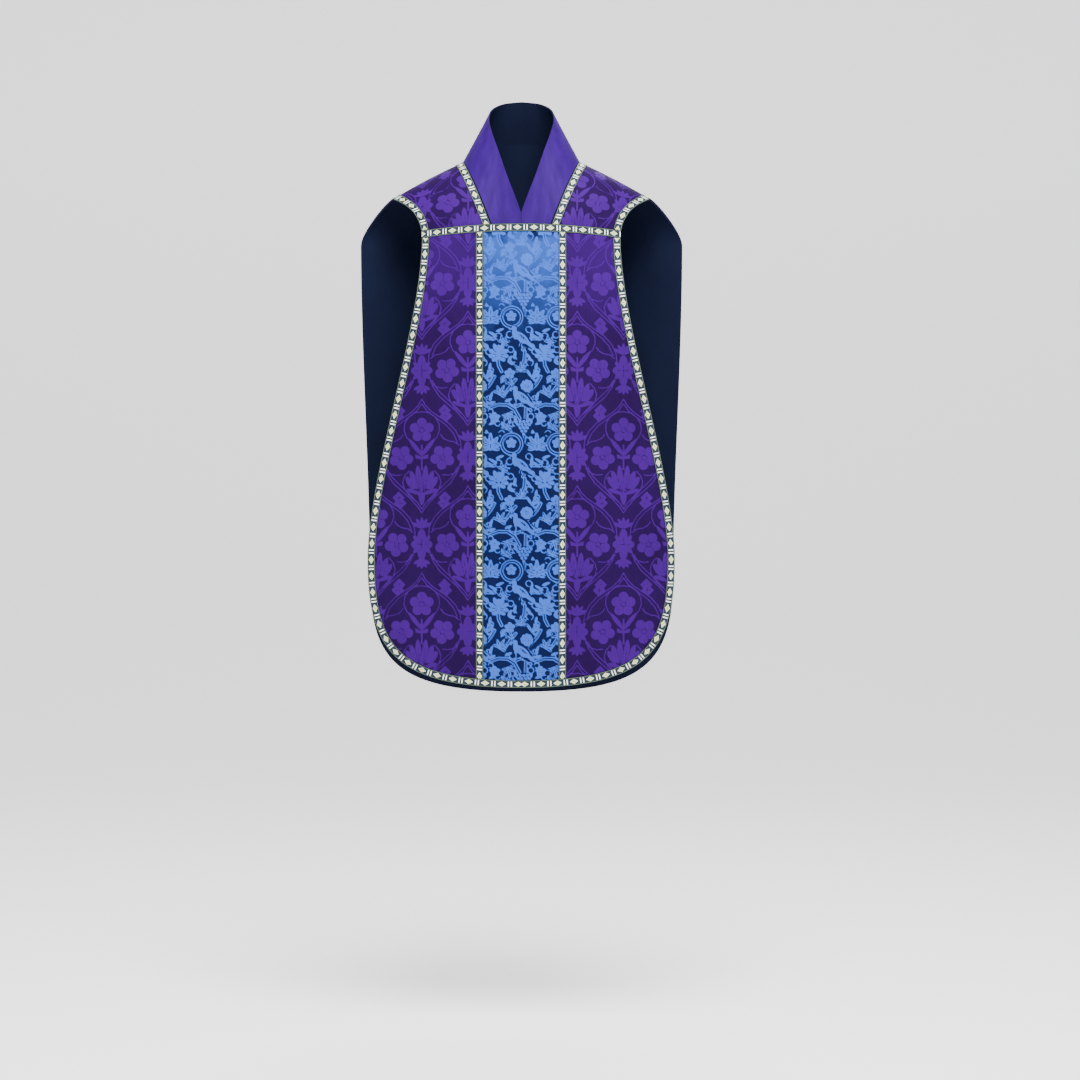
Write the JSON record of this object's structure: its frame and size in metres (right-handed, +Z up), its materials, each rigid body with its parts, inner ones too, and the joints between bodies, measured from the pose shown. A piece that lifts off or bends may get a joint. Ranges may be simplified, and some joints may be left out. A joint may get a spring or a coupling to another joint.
{
  "type": "chasuble",
  "caption": "Roman chasuble in purple and blue damask, a lined front and back that hang from a shoulder piece with a standing neck band, edged with woven galloon.",
  "frame": {"origin": "on the plane of symmetry, at the height where the cloth rests on the shoulders beside the neck", "axes": "+Z up, -Y the front of the vestment, +X the wearer's left"},
  "size_m": [0.6636, 0.289, 1.2246],
  "materials": {
    "purple_damask": "satin damask, two-tone figure and ground",
    "orphrey_damask": "satin damask, light blue figure on a deeper blue ground",
    "purple_satin": "plain satin",
    "galloon": "woven braid, ivory and pale green on grey",
    "lining": "navy sateen",
    "interlining": "dyed canvas"
  },
  "bodies": {
    "shoulders": {"shoulder_lining": "lining", "shoulder_interlining": "interlining", "shoulder_damask_left": "purple_damask", "shoulder_damask_right": "purple_damask", "upper_back_orphrey": "orphrey_damask", "upper_orphrey_galloon_left": "galloon", "upper_orphrey_galloon_right": "galloon", "armhole_galloon_left": "galloon", "armhole_galloon_right": "galloon", "neck_galloon": "galloon", "chest_galloon": "galloon", "neck_band_facing": "lining", "neck_band_stay": "interlining", "neck_band_left": "purple_satin", "neck_band_right": "purple_satin"},
    "front_panel": {"front_lining": "lining", "front_interlining": "interlining", "front_orphrey": "orphrey_damask", "front_damask_left": "purple_damask", "front_damask_right": "purple_damask", "front_orphrey_galloon_left": "galloon", "front_orphrey_galloon_right": "galloon", "front_edge_galloon": "galloon"},
    "back_panel": {"back_lining": "lining", "back_interlining": "interlining", "back_orphrey": "orphrey_damask", "back_damask_left": "purple_damask", "back_damask_right": "purple_damask", "back_orphrey_galloon_left": "galloon", "back_orphrey_galloon_right": "galloon", "back_edge_galloon": "galloon"}
  },
  "joints": [
    {"name": "front_panel_swing", "type": "hinge", "parent": "shoulders", "child": "front_panel", "pos_m": [0, -0.1325, -0.15], "axis": [-1, 0, 0], "range_deg": [0, 40]},
    {"name": "back_panel_swing", "type": "hinge", "parent": "shoulders", "child": "back_panel", "pos_m": [0, 0.1285, -0.165], "axis": [1, 0, 0], "range_deg": [0, 20]}
  ]
}
